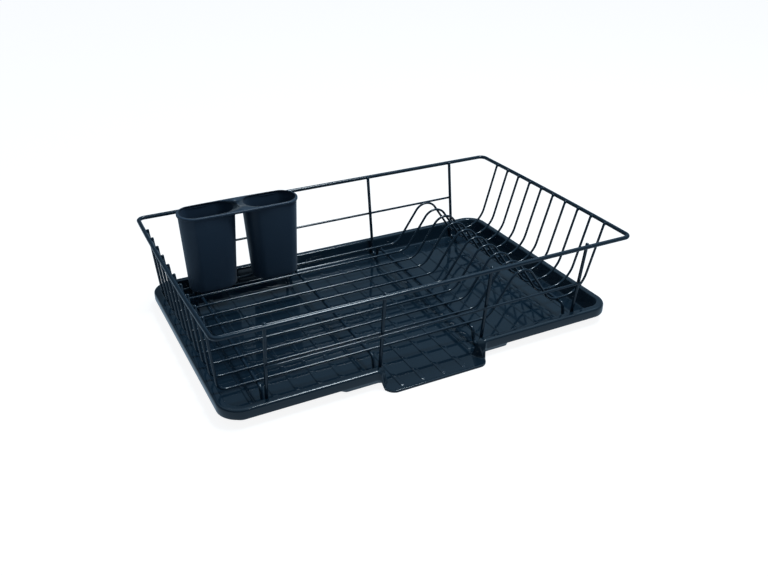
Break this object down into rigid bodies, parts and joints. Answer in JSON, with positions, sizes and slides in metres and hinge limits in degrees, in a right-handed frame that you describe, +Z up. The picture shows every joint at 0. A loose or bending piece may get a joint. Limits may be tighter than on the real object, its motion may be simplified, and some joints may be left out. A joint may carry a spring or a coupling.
{
  "type": "dish drying rack",
  "caption": "Wire dish drying rack with humped plate wires, standing in a shallow drain tray with a front spout, with a twin-cup utensil holder.",
  "frame": {"origin": "on the table, on the drain tray's flat underside, under the middle of the rack", "axes": "+X along the rack towards the humped plate end, +Y towards the back, away from the spout, +Z up"},
  "size_m": [0.4848, 0.3129, 0.1218],
  "materials": {
    "coated_wire": "satin dark navy plastic coating over steel wire",
    "tray_plastic": "very glossy dark navy moulded plastic",
    "holder_plastic": "fine matt dark navy moulded plastic"
  },
  "bodies": {
    "tray": {"drain_tray": "tray_plastic"},
    "basket": {"top_rim": "coated_wire", "transverse_frame_1": "coated_wire", "transverse_frame_2": "coated_wire", "transverse_frame_3": "coated_wire", "transverse_frame_4": "coated_wire", "long_wire_01": "coated_wire", "long_wire_02": "coated_wire", "long_wire_03": "coated_wire", "long_wire_04": "coated_wire", "long_wire_05": "coated_wire", "long_wire_06": "coated_wire", "long_wire_07": "coated_wire", "long_wire_08": "coated_wire", "long_wire_09": "coated_wire", "long_wire_10": "coated_wire", "side_rail_front": "coated_wire", "side_rail_back": "coated_wire"},
    "holder": {"utensil_holder": "holder_plastic"}
  },
  "joints": [
    {"name": "basket_lift", "type": "slide", "parent": "tray", "child": "basket", "axis": [0, 0, 1], "range_m": [0, 0.06]},
    {"name": "holder_lift", "type": "slide", "parent": "basket", "child": "holder", "axis": [0, 0, 1], "range_m": [0, 0.12]}
  ]
}
